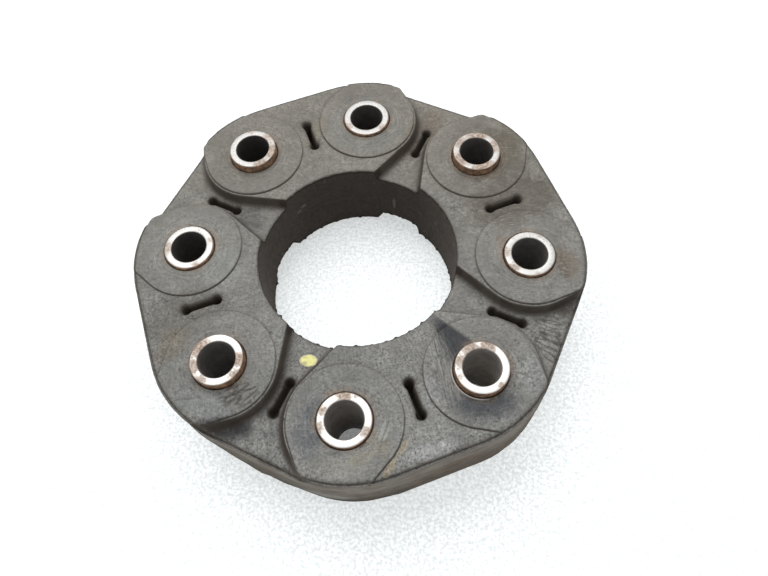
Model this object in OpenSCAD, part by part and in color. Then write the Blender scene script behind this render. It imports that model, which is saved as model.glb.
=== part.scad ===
// Driveshaft flex disc: a ring of eight steel bushes tied in pairs by cord
// loops and moulded into a rubber casing. Millimetres, disc axis on Z, the
// middle of the disc at the origin, bush 1 on +Y, counted counter-clockwise.

/* [Bolt circle] */
// Diameter of the bolt circle
pcd = 120; // [114:1:130]

/* [Bushes] */
// Bolt bore of each bush
bore_d = 12.2; // [10.2:0.1:13.2]
// Wall of each bush
bush_wall = 2.7; // [2:0.1:3.2]
// Length of each bush
bush_len = 37.2; // [36.6:0.2:42]
// Height by which neighbouring bushes are shifted
bush_shift = 2; // [0.4:0.2:2.6]
// Chamfer on the outer edges of each bush
bush_chamfer = 0.2; // [0.1:0.1:0.5]

/* [Rubber casing] */
// Thickness over the pads
casing_h = 33.2; // [32.4:0.2:33.8]
// Step from a pad down to the links beside it
pad_step = 0.5; // [0.2:0.1:0.8]
// Radius of the pad about each bush
pad_r = 18.5; // [17.8:0.1:19]
// Angle from the outward radius at which the edge of a pad leaves its circle for the outline
pad_flare = 52; // [45:1:58]
// From the chord between two bushes out to the flat of the outline
rim = 21.6; // [20:0.1:23]
// Radius of the corners of the outline
corner_r = 42; // [38:1:48]
// Swell of the outer wall at mid height
wall_draft = 0.7; // [0.4:0.1:2]
// Diameter of the centre hole
hole_d = 70.4; // [60:0.2:72]
// Depth of the recesses below the links
recess_depth = 4.5; // [3:0.1:5.5]
// Width of the ledge between a pad and the recess beside it
ledge_w = 0.9; // [0.5:0.1:1.2]
// Half angle of a recess at the centre hole
recess_in = 15.3; // [14:0.1:16.5]
// Angle from a bush to the end of the ear on its pad
ear_angle = 9.2; // [8.6:0.1:10.5]
// Width of the relief moulded round each bush
relief_w = 0.7; // [0.4:0.1:1.2]
// Depth of that relief
relief_d = 0.8; // [0.4:0.1:1.2]

/* [Locating slots] */
// Shift of the slots outwards from the chord between two bushes
slot_shift = 1; // [0:0.1:1.2]
// Distance between the two bulbs of a slot
slot_pitch = 10.8; // [9:0.1:11]
// Diameter of the bulbs
slot_bulb_d = 3.3; // [2.8:0.1:3.4]
// Width of the neck
slot_neck = 2; // [1.4:0.1:2.4]
// Rubber left between the slots of the two faces
slot_web = 12; // [12:0.5:16]

/* [Cord loops] */
// Radial thickness of the loops
loop_w = 6.2; // [5:0.1:6.6]
// Height of the upper and lower loops
outer_loop_h = 8; // [6:0.2:8.4]
// Height of the middle loops
mid_loop_h = 10; // [8:0.2:10.4]
// Play of the loops in the rubber
loop_play = 0.1; // [0.05:0.05:0.2]

/* [Guide collars] */
// Wall of the collar tube under a loop
collar_wall = 1; // [0.8:0.1:1.2]
// Thickness of the collar flange
flange_t = 1; // [0.8:0.1:1.2]
// Reach of the flange beyond the bush
flange_w = 5.6; // [4:0.1:6]

/* [Hidden] */
$fn = 96;
eps = 0.5;
// a flat is set this much inside the round that ends it, so that the two cross
flat_lap = 0.15;
loop_lap = 0.4;
// straight walls start this much inside the rounds that they leave
pad_lap = 0.3;
// the line of an ear is aimed at a point this far beyond the flats
ear_aim = 2.4;
// straight walls run this far past the outline
overrun = 16;
gap = 22.5;
bolt_r = pcd / 2;
chord_r = bolt_r * cos(gap);
chord_half = bolt_r * sin(gap);
bush_r = bore_d / 2 + bush_wall;
tube_r = bush_r + collar_wall;
flange_r = bush_r + flange_w;
pad_z = casing_h / 2;
link_z = pad_z - pad_step;
floor_z = link_z - recess_depth;
flat_r = chord_r + rim;
corner_pos = (flat_r - corner_r) / cos(gap);
hole_r = min(hole_d / 2, chord_r - tube_r - loop_w - 1.5);
mid_z = mid_loop_h / 2;
outer_z = mid_z + flange_t;
function bush_angle(i) = 45 * (i + 1);
function flip(p) = [p[0], -p[1]];
function beyond(p, q, l) = p + l * (p - q) / norm(p - q);
// where a line from p touches the circle of radius r about c, on side s
function touch(p, c, r, s) =
    let (d = c - p, l = norm(d), a = atan2(d[1], d[0]) + s * asin(min(1, r / l)))
    p + sqrt(max(0, l * l - r * r)) * [cos(a), sin(a)];
// plan of a recess, with the middle of its gap on +X
ledge_r = pad_r + ledge_w;
bush_at = [chord_r, chord_half];
hole_pt = hole_r * [cos(recess_in), sin(recess_in)];
ear_pt = (flat_r + ear_aim) * [cos(gap - ear_angle), sin(gap - ear_angle)];
in_pt = touch(hole_pt, bush_at, ledge_r - pad_lap, -1);
out_pt = touch(ear_pt, bush_at, ledge_r - pad_lap, 1);
half_plan = [beyond(hole_pt, in_pt, overrun / 2), in_pt, out_pt, beyond(ear_pt, out_pt, overrun)];
// plan of a pad beyond its circle, from the ear to the flare, with its bush at the origin
ear_at = (flat_r + ear_aim) * [cos(ear_angle), -sin(ear_angle)] - [bolt_r, 0];
ear_touch = touch(ear_at, [0, 0], pad_r - pad_lap, 1);
flare_touch = (pad_r - pad_lap) * [cos(pad_flare), sin(pad_flare)];
flare_end = flare_touch + overrun * [sin(pad_flare), -cos(pad_flare)];
pad_front = [ear_touch, beyond(ear_at, ear_touch, overrun / 2), flare_end, flare_touch];

// Which node to draw

// Places
module at_bush(i) {
    rotate([0, 0, bush_angle(i)]) translate([bolt_r, 0, 0]) children();
}
module at_gap(i) {
    rotate([0, 0, bush_angle(i) + gap]) children();
}
module on_face(s) {
    if (s > 0) children();
    else mirror([0, 0, 1]) children();
}

// Collars and loops: r is the inner radius of a collar, which its cavity carries into the bush
module collar_shape(r, play) {
    top = outer_z + outer_loop_h + 2 * play;
    rotate_extrude() polygon([
        [r, mid_z], [flange_r, mid_z], [flange_r, outer_z],
        [tube_r, outer_z], [tube_r, top], [r, top]]);
}
module stadium(r, h) {
    for (s = [-1, 1]) translate([chord_r, s * chord_half, 0]) cylinder(r = r, h = h);
    straight(r, h);
}
module straight(r, h) {
    translate([chord_r - r + loop_lap, -chord_half, 0])
        cube([2 * (r - loop_lap), 2 * chord_half, h]);
}
module loop_shape(r, h) {
    difference() {
        stadium(r + loop_w, h);
        translate([0, 0, -eps]) stadium(r, h + 2 * eps);
    }
}
module loop_cavity(r, h) {
    translate([0, 0, -loop_play]) difference() {
        stadium(r + loop_w + loop_play, h + 2 * loop_play);
        translate([0, 0, -eps]) straight(r - loop_play, h + 2 * loop_play + 2 * eps);
    }
}

// Casing blank: octagon, widest at the parting line at mid height, its corners rounded
module corner_post() {
    run = 2 * eps;
    tip = corner_r - wall_draft * run / pad_z;
    rotate_extrude() polygon([[0, -pad_z - run], [tip, -pad_z - run],
        [corner_r + wall_draft, 0], [tip, pad_z + run], [0, pad_z + run]]);
}
module casing_blank() {
    flat = flat_r - flat_lap;
    side = (corner_r + wall_draft / 2) * sin(gap);
    difference() {
        intersection_for (i = [1:4]) at_gap(i) rotate([90, 0, 0])
            linear_extrude(height = 4 * flat_r, center = true) polygon([
                [-flat, -pad_z], [flat, -pad_z], [flat + wall_draft, 0],
                [flat, pad_z], [-flat, pad_z], [-flat - wall_draft, 0]]);
        for (i = [1:8]) rotate([0, 0, bush_angle(i)]) translate([corner_pos, 0, 0]) difference() {
            translate([0, -side, -pad_z - eps]) cube([corner_r * 1.5, 2 * side, casing_h + 2 * eps]);
            corner_post();
        }
    }
}
// Pad: a round about the bush that runs out to the outline between the ear and the flare
module pad(i, h) {
    cylinder(r = pad_r, h = h);
    linear_extrude(height = h) polygon(i % 2 == 0 ? [for (p = pad_front) flip(p)] : pad_front);
}
// All that lies above the links, less the pads, and the recesses, less the ledges
module face_cut() {
    difference() {
        translate([0, 0, link_z]) cylinder(r = flat_r * 1.3, h = pad_step + eps);
        for (i = [1:8]) at_bush(i) translate([0, 0, link_z - eps]) pad(i, pad_step + 3 * eps);
    }
    difference() {
        for (i = [2, 4, 6, 8]) at_gap(i) translate([0, 0, floor_z])
            linear_extrude(height = recess_depth + pad_step / 2)
                polygon(concat(half_plan, [for (k = [3:-1:0]) flip(half_plan[k])]));
        for (i = [1:8]) at_bush(i) translate([0, 0, floor_z - eps])
            cylinder(r = ledge_r, h = recess_depth + 2 * eps + pad_step);
    }
}
// Slot left by the pin that held the loops apart in the mould
module slot_cut() {
    translate([chord_r + slot_shift, 0, slot_web / 2]) {
        for (s = [-1, 1]) translate([s * slot_pitch / 2, 0, 0])
            cylinder(d = slot_bulb_d, h = pad_z, $fn = 48);
        translate([-slot_pitch / 2, -slot_neck / 2, 0]) cube([slot_pitch, slot_neck, pad_z]);
    }
}
module relief_cut() {
    translate([0, 0, pad_z - relief_d])
        cylinder(r1 = bush_r + 0.2, r2 = bush_r + relief_w * (relief_d + eps) / relief_d,
            h = relief_d + eps);
}

// Rubber casing
module rubber_casing() {
    color([0.24, 0.23, 0.22]) difference() {
        casing_blank();
        translate([0, 0, -pad_z - eps]) cylinder(r = hole_r, h = casing_h + 2 * eps, $fn = 128);
        for (s = [-1, 1]) on_face(s) {
            face_cut();
            for (i = [1:8]) at_gap(i) slot_cut();
            for (i = [1:8]) at_bush(i) relief_cut();
            for (i = [1:8]) at_bush(i) collar_shape(bore_d / 2, loop_play);
            for (i = [1, 3, 5, 7]) at_gap(i) translate([0, 0, outer_z])
                loop_cavity(tube_r, outer_loop_h);
        }
        for (i = [2, 4, 6, 8]) at_gap(i) translate([0, 0, -mid_z]) loop_cavity(bush_r, mid_loop_h);
        for (i = [1:8]) at_bush(i) translate([0, 0, -pad_z - eps])
            cylinder(r = bush_r, h = casing_h + 2 * eps);
    }
}

// Steel bush: even ones stand proud on top, odd ones underneath
module bush(i) {
    shift = bush_shift / 2 * (i % 2 == 0 ? 1 : -1);
    half = bush_len / 2;
    c = bush_chamfer;
    color([0.72, 0.7, 0.68]) at_bush(i) translate([0, 0, shift]) rotate_extrude() polygon([
        [bore_d / 2, -half], [bush_r - c, -half], [bush_r, -half + c],
        [bush_r, half - c], [bush_r - c, half], [bore_d / 2, half]]);
}

// Guide collar: tube under an outer loop, flange between it and the middle loop
module collar(i, s) {
    color([0.32, 0.32, 0.34]) at_bush(i) on_face(s) collar_shape(bush_r, 0);
}

// Cord loops: upper and lower ones pull across the thick gaps, middle ones across the thin
module outer_loop(i, s) {
    color([0.78, 0.72, 0.58]) on_face(s) at_gap(i) translate([0, 0, outer_z])
        loop_shape(tube_r, outer_loop_h);
}
module mid_loop(i) {
    color([0.7, 0.64, 0.5]) at_gap(i) translate([0, 0, -mid_z]) loop_shape(bush_r, mid_loop_h);
}

rubber_casing();
bush(1);  // bush_1
bush(2);  // bush_2
bush(3);  // bush_3
bush(4);  // bush_4
bush(5);  // bush_5
bush(6);  // bush_6
bush(7);  // bush_7
bush(8);  // bush_8
collar(1, 1);  // collar_upper_1
collar(2, 1);  // collar_upper_2
collar(3, 1);  // collar_upper_3
collar(4, 1);  // collar_upper_4
collar(5, 1);  // collar_upper_5
collar(6, 1);  // collar_upper_6
collar(7, 1);  // collar_upper_7
collar(8, 1);  // collar_upper_8
collar(1, -1);  // collar_lower_1
collar(2, -1);  // collar_lower_2
collar(3, -1);  // collar_lower_3
collar(4, -1);  // collar_lower_4
collar(5, -1);  // collar_lower_5
collar(6, -1);  // collar_lower_6
collar(7, -1);  // collar_lower_7
collar(8, -1);  // collar_lower_8
outer_loop(1, 1);  // loop_upper_12
outer_loop(3, 1);  // loop_upper_34
outer_loop(5, 1);  // loop_upper_56
outer_loop(7, 1);  // loop_upper_78
outer_loop(1, -1);  // loop_lower_12
outer_loop(3, -1);  // loop_lower_34
outer_loop(5, -1);  // loop_lower_56
outer_loop(7, -1);  // loop_lower_78
mid_loop(2);  // loop_mid_23
mid_loop(4);  // loop_mid_45
mid_loop(6);  // loop_mid_67
mid_loop(8);  // loop_mid_81
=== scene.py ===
import math

import bmesh
import bpy
import numpy as np
from mathutils import Matrix, Vector, noise
from mathutils.geometry import delaunay_2d_cdt


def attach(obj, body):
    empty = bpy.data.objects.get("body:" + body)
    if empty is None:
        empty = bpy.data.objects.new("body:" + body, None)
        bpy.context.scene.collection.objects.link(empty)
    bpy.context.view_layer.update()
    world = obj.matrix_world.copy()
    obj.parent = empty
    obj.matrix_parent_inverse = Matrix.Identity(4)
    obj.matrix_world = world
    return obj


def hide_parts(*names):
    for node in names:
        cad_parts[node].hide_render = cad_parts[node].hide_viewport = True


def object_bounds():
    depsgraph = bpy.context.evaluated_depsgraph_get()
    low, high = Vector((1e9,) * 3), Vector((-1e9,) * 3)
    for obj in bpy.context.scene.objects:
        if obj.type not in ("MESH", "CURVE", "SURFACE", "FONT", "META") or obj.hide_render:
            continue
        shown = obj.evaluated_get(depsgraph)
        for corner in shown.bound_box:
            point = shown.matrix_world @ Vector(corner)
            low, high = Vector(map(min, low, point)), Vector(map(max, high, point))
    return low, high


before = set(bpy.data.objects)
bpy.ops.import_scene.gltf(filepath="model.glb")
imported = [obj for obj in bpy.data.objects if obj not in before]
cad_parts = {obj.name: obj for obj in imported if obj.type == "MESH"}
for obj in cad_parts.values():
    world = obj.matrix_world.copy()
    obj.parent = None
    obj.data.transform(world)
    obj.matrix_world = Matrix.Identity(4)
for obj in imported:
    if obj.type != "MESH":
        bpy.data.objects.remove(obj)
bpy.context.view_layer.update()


# Guide collars
# Two flanged sleeves of moulded plastic on every bush, one above and one below the middle loops.
# They keep the cord loops apart and lie sealed in the rubber.

class Shade:
    """A value, colour or vector on its way through a material's nodes."""

    def __init__(self, tree, socket):
        self.tree = tree
        self.socket = socket

    def node(self, kind, settings=None, out=0, **sockets):
        """Adds a node: its settings first, then values or links of its sockets by name or number."""
        made = self.tree.nodes.new(kind)
        for key, value in (settings or {}).items():
            setattr(made, key, value)
        for name, value in sockets.items():
            key = int(name[1:]) if name[0] == "i" and name[1:].isdigit() else name.replace("_", " ")
            target = made.inputs[key]
            if isinstance(value, Shade):
                self.tree.links.new(value.socket, target)
            else:
                target.default_value = value
        return Shade(self.tree, made.outputs[out])

    def math(self, operation, other=0.0):
        return self.node("ShaderNodeMath", {"operation": operation}, i0=self, i1=other)

    def reflected(self, operation, other):
        return self.node("ShaderNodeMath", {"operation": operation}, i0=other, i1=self)

    def __add__(self, other):
        return self.math("ADD", other)

    def __radd__(self, other):
        return self.reflected("ADD", other)

    def __sub__(self, other):
        return self.math("SUBTRACT", other)

    def __rsub__(self, other):
        return self.reflected("SUBTRACT", other)

    def __mul__(self, other):
        return self.math("MULTIPLY", other)

    def __rmul__(self, other):
        return self.reflected("MULTIPLY", other)

    def __truediv__(self, other):
        return self.math("DIVIDE", other)

    def __rtruediv__(self, other):
        return self.reflected("DIVIDE", other)

    def step(self, low, high, to_low=0.0, to_high=1.0):
        """Runs smoothly from to_low to to_high while this value goes from low to high."""
        return self.node("ShaderNodeMapRange", {"interpolation_type": "SMOOTHSTEP"},
                         i0=self, i1=low, i2=high, i3=to_low, i4=to_high)

    def mix(self, first, second):
        """Goes from the first colour to the second with this value as the share."""
        def colour(c):
            return c if isinstance(c, Shade) else (*c, 1.0)
        return self.node("ShaderNodeMix", {"data_type": "RGBA", "clamp_factor": True}, 2,
                         i0=self, i6=colour(first), i7=colour(second))

    def grain(self, size, detail=3.0, roughness=0.55, stretch=None):
        """Noise whose grains are about size millimetres across, for a vector in millimetres."""
        place = self
        if stretch:
            place = self.node("ShaderNodeVectorMath", {"operation": "MULTIPLY"}, i0=self, i1=stretch)
        return place.node("ShaderNodeTexNoise", None, 0, Vector=place, Scale=1.0 / size,
                          Detail=detail, Roughness=roughness)


def new_finish(name):
    """A new material, its shader and the surface point in millimetres."""
    finish = bpy.data.materials.new(name)
    finish.use_nodes = True
    tree = finish.node_tree
    shader = tree.nodes["Principled BSDF"]
    start = Shade(tree, None)
    here = start.node("ShaderNodeTexCoord", None, 3)
    to_mm = (1000.0, 1000.0, 1000.0)
    spot = start.node("ShaderNodeVectorMath", {"operation": "MULTIPLY"}, i0=here, i1=to_mm)
    return finish, shader, spot


def feed(shader, **sockets):
    """Links or sets sockets of a shader by name."""
    for name, value in sockets.items():
        socket = shader.inputs[name.replace("_", " ")]
        if isinstance(value, Shade):
            value.tree.links.new(value.socket, socket)
        else:
            socket.default_value = value


collar_plastic, shader, spot = new_finish("collar_plastic")
mottle = spot.grain(6.0)
feed(shader, Base_Color=mottle.mix((0.045, 0.045, 0.05), (0.075, 0.075, 0.08)),
     Roughness=spot.grain(1.2).step(0.3, 0.7, 0.45, 0.62))
for number in range(1, 9):
    for side in ("upper", "lower"):
        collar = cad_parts["collar_%s_%d" % (side, number)]
        collar.data.materials.clear()
        collar.data.materials.append(collar_plastic)


# Cord loops
# Endless bands wound from many turns of twisted cord, slipped over two bushes each and dipped
# in bonding resin. They take the pull of the shaft and lie sealed in the rubber.
wound_cord, shader, spot = new_finish("wound_cord")
bands = {"wave_type": "BANDS", "bands_direction": "Z", "wave_profile": "SIN"}
turns = spot.node("ShaderNodeTexWave", bands, 1, Vector=spot, Scale=0.45, Distortion=1.2,
                  Detail=2.0, Detail_Scale=0.6)
resin = spot.grain(9.0)
cord = turns.mix((0.22, 0.15, 0.08), (0.55, 0.44, 0.27))
feed(shader, Base_Color=resin.step(0.5, 0.75).mix(cord, (0.2, 0.08, 0.04)), Roughness=0.7,
     Normal=turns.node("ShaderNodeBump", None, 0, Strength=0.6, Distance=0.0004, Height=turns))
for name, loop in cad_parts.items():
    if name.startswith("loop_"):
        loop.data.materials.clear()
        loop.data.materials.append(wound_cord)


# Steel bushes
# Eight thick-walled tubes cut from drawn steel, their ends faced flat, set high and low by turns
# round the bolt circle. Bolt heads have rubbed the ends bright and rust has spread from the edges.
MM = 0.001
BOLT_R = 60.0
EIGHTH = math.pi / 4
END_HEIGHT = 18.6
tree = bpy.data.node_groups.new("bush_ring", "GeometryNodeTree")
tree.interface.new_socket("Geometry", in_out="OUTPUT", socket_type="NodeSocketGeometry")
sizes = {"Bolt Circle Radius": BOLT_R * MM, "Bore Radius": 0.0061, "Wall": 0.0027, "Length": 0.0372,
         "Shift": 0.002, "Edge Radius": 0.00055}
inputs = {}
for name, value in sizes.items():
    socket = tree.interface.new_socket(name, in_out="INPUT", socket_type="NodeSocketFloat")
    inputs[name] = socket.identifier
given = tree.nodes.new("NodeGroupInput").outputs


def grow(kind, settings=None, out=0, **sockets):
    """Adds a geometry node; values and outputs of other nodes go to its sockets by name or number."""
    made = tree.nodes.new(kind)
    for key, value in (settings or {}).items():
        setattr(made, key, value)
    for name, value in sockets.items():
        key = int(name[1:]) if name[0] == "i" and name[1:].isdigit() else name.replace("_", " ")
        target = made.inputs[key]
        if isinstance(value, bpy.types.NodeSocket):
            tree.links.new(value, target)
        else:
            target.default_value = value
    return made.outputs[out]


def worked_out(operation, first, second=0.0, third=0.0):
    """A sum on the tree's values."""
    return grow("ShaderNodeMath", {"operation": operation}, i0=first, i1=second, i2=third)


middle = worked_out("MULTIPLY_ADD", given["Wall"], 0.5, given["Bore Radius"])
section = grow("GeometryNodeCurvePrimitiveQuadrilateral", None, 0, Width=given["Wall"],
               Height=given["Length"])
section = grow("GeometryNodeFilletCurve", {"mode": "POLY"}, 0, Curve=section, Count=5,
               Radius=given["Edge Radius"])
hoop = grow("GeometryNodeCurvePrimitiveCircle", None, 0, Resolution=128, Radius=middle)
tube = grow("GeometryNodeCurveToMesh", None, 0, Curve=hoop, i1=section)
tube = grow("GeometryNodeSetShadeSmooth", None, 0, Geometry=tube, Shade_Smooth=True)
ring = grow("GeometryNodeMeshCircle", None, 0, Vertices=8, Radius=given["Bolt Circle Radius"])
odd = worked_out("MODULO", grow("GeometryNodeInputIndex"), 2.0)
lift = worked_out("MULTIPLY", worked_out("SUBTRACT", odd, 0.5), given["Shift"])
lift = grow("ShaderNodeCombineXYZ", None, 0, Z=lift)
ring = grow("GeometryNodeSetPosition", None, 0, Geometry=ring, Offset=lift)
spread = grow("GeometryNodeInstanceOnPoints", None, 0, Points=ring, Instance=tube)
spread = grow("GeometryNodeRealizeInstances", None, 0, Geometry=spread)

bush_steel, shader, spot = new_finish("bush_steel")
spread = grow("GeometryNodeSetMaterial", None, 0, Geometry=spread, Material=bush_steel)
tree.links.new(spread, tree.nodes.new("NodeGroupOutput").inputs["Geometry"])


def parted(vector):
    """The three numbers of a vector."""
    first = vector.node("ShaderNodeSeparateXYZ", None, 0, Vector=vector)
    return [Shade(vector.tree, socket) for socket in first.socket.node.outputs]


def from_middle(spot):
    """Distance from the disc's axis, in millimetres."""
    along_x, along_y, _ = parted(spot)
    return (along_x * along_x + along_y * along_y).math("SQRT")


def from_bush(spot):
    """Distance from the nearest bush's axis, in millimetres."""
    along_x, along_y, _ = parted(spot)
    turn = along_y.math("ARCTAN2", along_x)
    turn = turn - (turn / EIGHTH).math("ROUND") * EIGHTH
    reach = from_middle(spot)
    out = reach * turn.math("COSINE") - BOLT_R
    across = reach * turn.math("SINE")
    return (out * out + across * across).math("SQRT")


def scaled(colour, factor):
    """A colour made lighter or darker by a factor."""
    return factor.node("ShaderNodeVectorMath", {"operation": "SCALE"}, 0, i0=colour, Scale=factor)


from_axis = from_bush(spot)
along_x, along_y, height = parted(spot)
upright = parted(spot.node("ShaderNodeNewGeometry", None, 1))[2].math("ABSOLUTE")
end_face = upright.step(0.6, 0.95)
in_bore = (1.0 - from_axis.step(6.5, 6.9)) * (1.0 - end_face)
# brown film on the ends: bush number, bearing in degrees, millimetres from the axis, reach, strength
films = [
    (1, 215, 8.4, 2.4, 0.55), (1, 320, 8.5, 2.2, 0.6), (1, 60, 8.6, 1.4, 0.5), (2, 350, 7.4, 4.0, 0.9),
    (2, 45, 7.8, 3.0, 0.6), (2, 300, 7.8, 3.4, 0.75), (2, 100, 8.3, 2.0, 0.45), (3, 185, 7.8, 3.2, 0.6),
    (3, 300, 8.2, 2.0, 0.6), (3, 20, 8.0, 1.8, 0.45), (4, 150, 7.4, 4.4, 1.0), (4, 200, 7.6, 3.4, 0.9),
    (4, 240, 7.8, 2.4, 0.7), (4, 0, 7.6, 3.4, 0.9), (4, 325, 8.2, 2.6, 0.7), (5, 95, 7.8, 3.0, 1.0),
    (5, 65, 8.4, 1.7, 0.7), (5, 200, 8.3, 2.5, 0.7), (5, 335, 8.0, 2.4, 0.85), (5, 160, 7.6, 2.0, 0.8),
    (6, 120, 7.2, 3.8, 0.85), (6, 75, 7.4, 3.4, 0.85), (6, 165, 7.4, 3.0, 0.75), (6, 205, 7.8, 2.0, 0.5),
    (6, 315, 8.4, 1.7, 0.9), (6, 45, 8.2, 1.2, 0.4), (7, 225, 8.2, 2.5, 0.6), (7, 175, 8.2, 2.2, 0.6),
    (7, 285, 8.4, 1.7, 0.6), (7, 60, 8.3, 1.6, 0.4), (8, 290, 7.4, 4.6, 0.9), (8, 215, 7.4, 4.2, 0.8),
    (8, 90, 7.4, 4.6, 0.85), (8, 20, 7.6, 3.6, 0.6), (8, 150, 7.6, 3.4, 0.6), (8, 185, 7.8, 2.6, 0.2)]
crumbled = spot.grain(2.2, 4.0, 0.65)
pitted = spot.grain(0.9, 3.0, 0.6)
film = crumbled * 0.0
for number, bearing, reach, size, strength in films:
    a = EIGHTH * (number + 1)
    b = math.radians(bearing)
    centre = (BOLT_R * math.cos(a) + reach * math.cos(b), BOLT_R * math.sin(a) + reach * math.sin(b),
              END_HEIGHT)
    gap = spot.node("ShaderNodeVectorMath", {"operation": "DISTANCE"}, 1, i0=spot, i1=centre)
    smear = (gap / size + (crumbled - 0.5) + (pitted - 0.5) * 1.3).step(0.5, 1.15, strength, 0.0)
    film = film.math("MAXIMUM", smear)
specks = pitted.step(0.57, 0.66) * crumbled.step(0.46, 0.6) * 0.7
core = film.step(0.2, 0.7) * pitted.step(0.48, 0.62) * 0.58
bright = spot.grain(2.2, 3.0).mix((0.5, 0.492, 0.475), (0.74, 0.73, 0.705))
# painted shade: the bright ends darker on the far bushes, which reflect less light
bright = scaled(bright, along_y.step(-45.0, 10.0, 1.0, 0.66) * along_y.step(10.0, 45.0, 1.0, 0.9))
tan_film = spot.grain(0.8, 2.0, 0.6).step(0.32, 0.66).mix((0.35, 0.245, 0.18), (0.66, 0.565, 0.485))
side_rust = spot.grain(2.0, 4.0, 0.65).step(0.35, 0.7).mix((0.12, 0.07, 0.046), (0.4, 0.235, 0.135))
# inside the bores: grey steel with painted light, lighter in the near bores, towards +X and deeper down,
# darker at the far side and near the top
bore_steel_painted_light = spot.grain(3.0, 3.0).step(0.35, 0.7).mix((0.36, 0.335, 0.31), (0.5, 0.47, 0.44))
bore_steel_painted_light = scaled(bore_steel_painted_light, along_y.step(-55.0, 20.0, 0.9, 0.22) * along_x.step(-45.0, 45.0, 0.6, 1.2)
                   * height.step(2.0, 17.0, 1.35, 0.65))
face = film.mix(bright, tan_film)
face = core.math("MAXIMUM", specks).mix(face, (0.2, 0.125, 0.09))
worn_steel = end_face.mix(side_rust, face)
dull = film.math("MAXIMUM", 1.0 - end_face)
feed(shader, Base_Color=in_bore.mix(worn_steel, bore_steel_painted_light), Metallic=(1.0 - dull) * 0.8,
     Roughness=dull.step(0.0, 1.0, 0.42, 0.7),
     Normal=film.node("ShaderNodeBump", None, 0, Strength=0.4, Distance=0.0003,
                      Height=core * 0.4 + crumbled * 0.4 + pitted * 0.2))
bush_seed = bpy.data.objects.new("bush_seed", bpy.data.meshes.new("bush_seed"))
bpy.context.scene.collection.objects.link(bush_seed)
maker = bush_seed.modifiers.new("bush_ring", "NODES")
maker.node_group = tree
for name, value in sizes.items():
    maker[inputs[name]] = value
ready = bush_seed.evaluated_get(bpy.context.evaluated_depsgraph_get())
bush_mesh = bpy.data.meshes.new_from_object(ready)
bpy.data.objects.remove(bush_seed)
shell = bmesh.new()
shell.from_mesh(bush_mesh)
bmesh.ops.remove_doubles(shell, verts=shell.verts, dist=1e-6)
bmesh.ops.recalc_face_normals(shell, faces=shell.faces)
shell.to_mesh(bush_mesh)
shell.free()
bushes = bpy.data.objects.new("steel_bushes", bush_mesh)
bpy.context.scene.collection.objects.link(bushes)
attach(bushes, "root")
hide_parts(*["bush_%d" % number for number in range(1, 9)])


# Rubber casing
# One vulcanised moulding that grips the bushes and buries the loops: raised pads, flush and sunken links by
# turns, slots left by the mould's pins. Years of twist and dirt have cracked, scuffed and stained it.
PAD_TOP = 16.6
LINK_TOP = 16.1
FLOOR = 11.6
SLOT_FLOOR = 6.0
PAD_R = 18.5
LEDGE_R = 19.4
HOLE_R = 35.2
SEAT_R = 8.85
FLAT_R = 76.95
CORNER_R = 42.0
EAR_ROUND = 9.0
EAR_REACH = 79.43
EAR_TURN = math.radians(-8.6)
SUNKEN_TURN = math.radians(-7.2)
SWELL = 0.45
GAP = math.radians(22.5)
PITCH = 2 * GAP
FIRST_SUNKEN = math.radians(67.5)
CORNER_AT = (FLAT_R - CORNER_R) / math.cos(GAP)
FLARE = math.radians(52)


def polar(reach, angle):
    """Points at a distance and an angle from the middle."""
    return np.stack([reach * np.cos(angle), reach * np.sin(angle)], -1)


def turned(p, angle):
    """Points turned about the middle."""
    c, s = math.cos(angle), math.sin(angle)
    return np.stack([p[..., 0] * c - p[..., 1] * s, p[..., 0] * s + p[..., 1] * c], -1)


def folded(p, first, step):
    """Points turned back from the nearest of evenly set spokes, and the number of that spoke."""
    turn = np.arctan2(p[:, 1], p[:, 0]) - first
    spoke = np.round(turn / step)
    return polar(np.hypot(p[:, 0], p[:, 1]), turn - spoke * step), spoke.astype(int)


def resampled(line, pitch, closed=False):
    """The same line with points about pitch apart."""
    line = np.vstack([line, line[:1]]) if closed else line
    run = np.concatenate([[0], np.cumsum(np.linalg.norm(np.diff(line, axis=0), axis=1))])
    at = np.linspace(0, run[-1], max(2, int(round(run[-1] / pitch))) + 1)
    at = at[:-1] if closed else at
    return np.stack([np.interp(at, run, line[:, 0]), np.interp(at, run, line[:, 1])], 1)


def moved_out(line, by, closed=False):
    """The line moved sideways, to the right of its run."""
    run = np.roll(line, -1, 0) - np.roll(line, 1, 0) if closed else np.gradient(line, axis=0)
    right = np.stack([run[:, 1], -run[:, 0]], 1) / np.linalg.norm(run, axis=1)[:, None]
    return line + by * right


def nearest(p, line, closed=False):
    """Distance of points from a line."""
    ends = np.roll(line, -1, 0) if closed else line[1:]
    starts = line if closed else line[:-1]
    best = np.full(len(p), 1e9)
    for a, b in zip(starts, ends):
        d = b - a
        t = np.clip(((p - a) @ d) / (d @ d), 0, 1)
        best = np.minimum(best, np.hypot(*(p - a - t[:, None] * d).T))
    return best


def within(p, loop):
    """Which points lie inside a closed line."""
    inside = np.zeros(len(p), bool)
    for a, b in zip(loop, np.roll(loop, -1, 0)):
        if a[1] != b[1]:
            crossed = a[0] + (p[:, 1] - a[1]) * (b[0] - a[0]) / (b[1] - a[1])
            inside ^= ((a[1] > p[:, 1]) != (b[1] > p[:, 1])) & (p[:, 0] < crossed)
    return inside


def rough(p, size, level=0.0):
    """Smooth noise over the points, from -1 to 1, with waves about size millimetres long."""
    return np.array([noise.noise(Vector((x / size, y / size, level))) for x, y in p])


# outline: flats across the gaps, wide rounds at the bushes
outline = []
for k in range(8):
    around = k * PITCH + np.linspace(-GAP, GAP, 41)
    outline.append(polar(CORNER_AT, k * PITCH) + polar(CORNER_R, around))
outline = resampled(np.vstack(outline), 0.8, True)


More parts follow.
